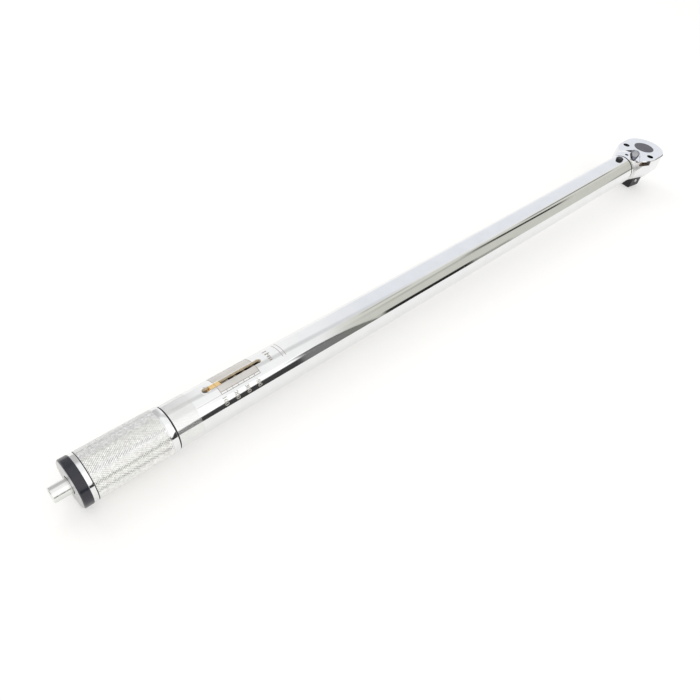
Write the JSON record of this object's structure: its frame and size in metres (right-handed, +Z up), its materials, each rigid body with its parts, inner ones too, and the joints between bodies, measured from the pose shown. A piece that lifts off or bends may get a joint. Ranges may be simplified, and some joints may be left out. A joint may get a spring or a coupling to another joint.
{
  "type": "click torque wrench",
  "caption": "Long click-type torque wrench with reversible ratchet head, square drive, slot scale in the tube, knurled adjusting handle and end lock rod.",
  "frame": {"origin": "on the drive axis, at the height of the tube's axis", "axes": "+X from the handle along the tube to the tip of the head, +Y to the left of it, +Z up; the square drive points down, -Z"},
  "size_m": [0.7558, 0.0468, 0.0533],
  "materials": {
    "chrome": "polished plating",
    "chrome_satin": "satin plating with a diamond knurl on the grip",
    "steel_black": "black oxide, satin",
    "steel_dark": "turned, grey, satin",
    "steel_bright": "ground",
    "spring_steel": "oiled",
    "brass": "machined",
    "ring_black": "glossy black",
    "cap_silver": "turned face"
  },
  "bodies": {
    "tube_body": {"tube": "chrome", "pivot_pin": "steel_black", "end_bush": "steel_dark", "bush_screws": "steel_black", "thrust_washer": "brass", "main_spring": "spring_steel"},
    "head": {"ratchet_head": "chrome", "cover_plate": "chrome_satin", "cover_screws": "steel_black", "pawl_spring": "spring_steel"},
    "drive": {"drive_gear": "steel_dark", "detent_spring": "spring_steel"},
    "ball": {"detent_ball": "steel_bright"},
    "pawl": {"pawl": "steel_dark"},
    "lever": {"reverse_lever": "chrome_satin"},
    "plunger_of_pawl": {"pawl_plunger": "brass"},
    "click_block": {"click_block": "steel_bright"},
    "plunger": {"plunger": "steel_bright", "push_rod": "steel_bright", "spring_seat": "steel_dark"},
    "nut": {"travelling_nut": "steel_dark", "pointer": "brass", "nut_washer": "steel_bright"},
    "handle": {"handle_sleeve": "chrome_satin", "end_cap": "cap_silver", "end_ring": "ring_black", "drive_hub": "steel_dark", "hub_pin": "steel_bright", "adjusting_screw": "steel_bright", "lock_spring": "spring_steel"},
    "lock_rod": {"lock_rod": "chrome", "rod_clip": "spring_steel"}
  },
  "joints": [
    {"name": "click_tilt", "type": "hinge", "parent": "tube_body", "child": "head", "pos_m": [-0.0627, 0, 0], "axis": [0, 0, 1], "range_deg": [-1.5, 1.5], "stiffness_Nm_per_rad": 60},
    {"name": "block_tip", "type": "hinge", "parent": "head", "child": "click_block", "pos_m": [-0.181, 0, 0], "axis": [0, 0, 1], "range_deg": [-16.3, 16.3]},
    {"name": "plunger_slide", "type": "slide", "parent": "tube_body", "child": "plunger", "axis": [-1, 0, 0], "range_m": [0, 0.0008], "stiffness_N_per_m": 18000, "springref_m": -0.002, "deforming": ["main_spring"]},
    {"name": "drive_spin", "type": "hinge", "parent": "head", "child": "drive", "pos_m": [0, 0, 0], "axis": [0, 0, 1], "continuous": true},
    {"name": "ball_press", "type": "slide", "parent": "drive", "child": "ball", "axis": [0.1392, 0.9903, 0], "range_m": [0, 0.0011], "stiffness_N_per_m": 900, "springref_m": -0.001, "deforming": ["detent_spring"]},
    {"name": "lever_turn", "type": "hinge", "parent": "head", "child": "lever", "pos_m": [-0.0215, 0, 0], "axis": [0, 0, 1], "range_deg": [-44, 0]},
    {"name": "pawl_rock", "type": "hinge", "parent": "head", "child": "pawl", "pos_m": [-0.0215, 0, 0], "axis": [0, 0, 1], "range_deg": [-5.1, 0.1]},
    {"name": "pawl_plunger_slide", "type": "slide", "parent": "head", "child": "plunger_of_pawl", "axis": [-1, 0, 0], "range_m": [0, 0.001], "stiffness_N_per_m": 700, "springref_m": -0.001, "deforming": ["pawl_spring"]},
    {"name": "handle_turn", "type": "hinge", "parent": "tube_body", "child": "handle", "pos_m": [-0.68, 0, 0], "axis": [1, 0, 0], "range_deg": [0, 5796]},
    {"name": "nut_travel", "type": "slide", "parent": "tube_body", "child": "nut", "axis": [1, 0, 0], "range_m": [0, 0.0323], "deforming": ["main_spring"]},
    {"name": "rod_push", "type": "slide", "parent": "handle", "child": "lock_rod", "axis": [1, 0, 0], "range_m": [0, 0.0035], "stiffness_N_per_m": 1500, "springref_m": -0.002, "deforming": ["lock_spring"]}
  ],
  "couplings": [
    {"joint": "nut_travel", "follows": "handle_turn", "m_per_rad": 0.00031831},
    {"joint": "block_tip", "follows": "click_tilt", "ratio": -10.858},
    {"joint": "pawl_rock", "follows": "lever_turn", "ratio": 0.1136}
  ]
}
